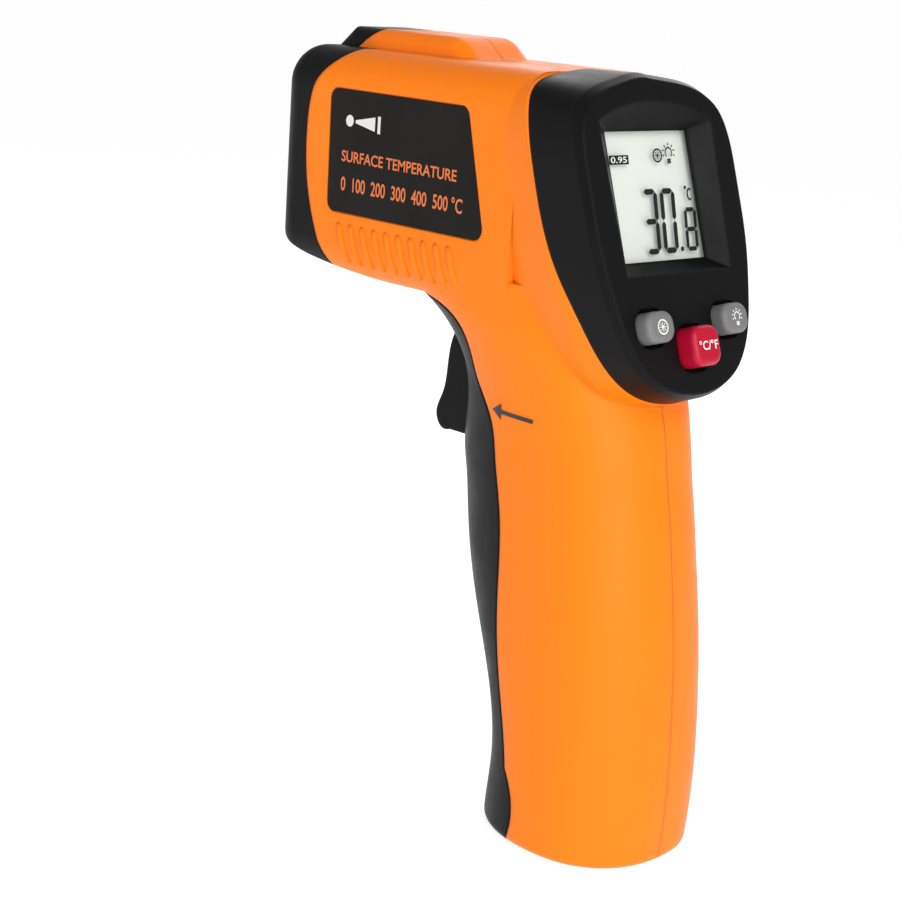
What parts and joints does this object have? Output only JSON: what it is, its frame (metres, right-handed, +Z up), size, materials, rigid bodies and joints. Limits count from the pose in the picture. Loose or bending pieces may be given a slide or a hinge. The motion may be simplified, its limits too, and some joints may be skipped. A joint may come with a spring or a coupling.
{
  "type": "infrared thermometer",
  "caption": "Pistol-grip infrared thermometer with a tilted display head, sprung trigger, press buttons and a hinged battery door.",
  "frame": {"origin": "centre of the flat foot under the grip", "axes": "-X towards the muzzle, +X towards the display and the user, -Y the holder's left side, +Z up along the grip"},
  "size_m": [0.1044, 0.0432, 0.153],
  "materials": {
    "orange_shell": "fine spark-textured ABS",
    "black_shell": "fine spark-textured ABS",
    "label_black": "printed film, matte",
    "window_clear": "clear hard-coated plastic",
    "lcd_glass": "reflective liquid crystal panel",
    "lcd_light": "white light guide",
    "holder_white": "moulded",
    "strip_rubber": "conductive elastomer strip",
    "board_green": "solder-masked glass epoxy",
    "chip_black": "moulded epoxy",
    "switch_grey": "moulded",
    "grey_button": "moulded, satin",
    "red_button": "moulded, glossy",
    "steel": "zinc plated",
    "tube_black": "moulded",
    "lens_milky": "milky moulded lens",
    "sensor_can": "drawn can",
    "laser_brass": "turned",
    "laser_glass": "red-tinted",
    "battery_jacket": "printed steel jacket",
    "snap_black": "soft vinyl",
    "lead_red": "insulated lead",
    "lead_black": "insulated lead"
  },
  "bodies": {
    "case": {"housing_left": "orange_shell", "housing_right": "orange_shell", "display_bezel": "black_shell", "nose_collar": "black_shell", "label_left": "label_black", "label_right": "label_black", "display_window": "window_clear", "lcd_panel": "lcd_glass", "lcd_backlight": "lcd_light", "lcd_holder": "holder_white", "lcd_contact_strip": "strip_rubber", "main_board": "board_green", "board_screws": "steel", "board_chips": "chip_black", "panel_switches": "switch_grey", "buzzer": "chip_black", "trigger_switch": "switch_grey", "trigger_switch_plunger": "holder_white", "trigger_pin": "steel", "trigger_spring": "steel", "lens_tube": "tube_black", "infrared_lens": "lens_milky", "thermopile_sensor": "sensor_can", "sensor_pins": "steel", "sensor_board": "board_green", "laser_module": "laser_brass", "laser_lens": "laser_glass", "battery_can": "battery_jacket", "battery_terminals": "steel", "battery_snap": "snap_black", "battery_tray": "tube_black", "battery_lead_red": "lead_red", "battery_lead_black": "lead_black", "case_screws": "steel"},
    "door": {"battery_door": "black_shell", "door_hinge_pin": "steel"},
    "trigger": {"trigger": "black_shell"},
    "laser_button": {"laser_button": "grey_button"},
    "backlight_button": {"backlight_button": "grey_button"},
    "unit_button": {"unit_button": "red_button"}
  },
  "joints": [
    {"name": "trigger_pull", "type": "hinge", "parent": "case", "child": "trigger", "pos_m": [-0.025, 0, 0.102], "axis": [0, -1, 0], "range_deg": [0, 6.5], "stiffness_Nm_per_rad": 1.2, "springref_deg": -5.73, "deforming": ["trigger_spring"]},
    {"name": "door_swing", "type": "hinge", "parent": "case", "child": "door", "pos_m": [-0.0165, 0, 0.0066], "axis": [0, -1, 0], "range_deg": [0, 70]},
    {"name": "laser_button_press", "type": "slide", "parent": "case", "child": "laser_button", "axis": [-0.9461, 0, -0.3239], "range_m": [0, 0.0006], "stiffness_N_per_m": 1500, "springref_m": -0.0004},
    {"name": "backlight_button_press", "type": "slide", "parent": "case", "child": "backlight_button", "axis": [-0.9461, 0, -0.3239], "range_m": [0, 0.0006], "stiffness_N_per_m": 1500, "springref_m": -0.0004},
    {"name": "unit_button_press", "type": "slide", "parent": "case", "child": "unit_button", "axis": [-0.9461, 0, -0.3239], "range_m": [0, 0.0006], "stiffness_N_per_m": 1500, "springref_m": -0.0004}
  ]
}
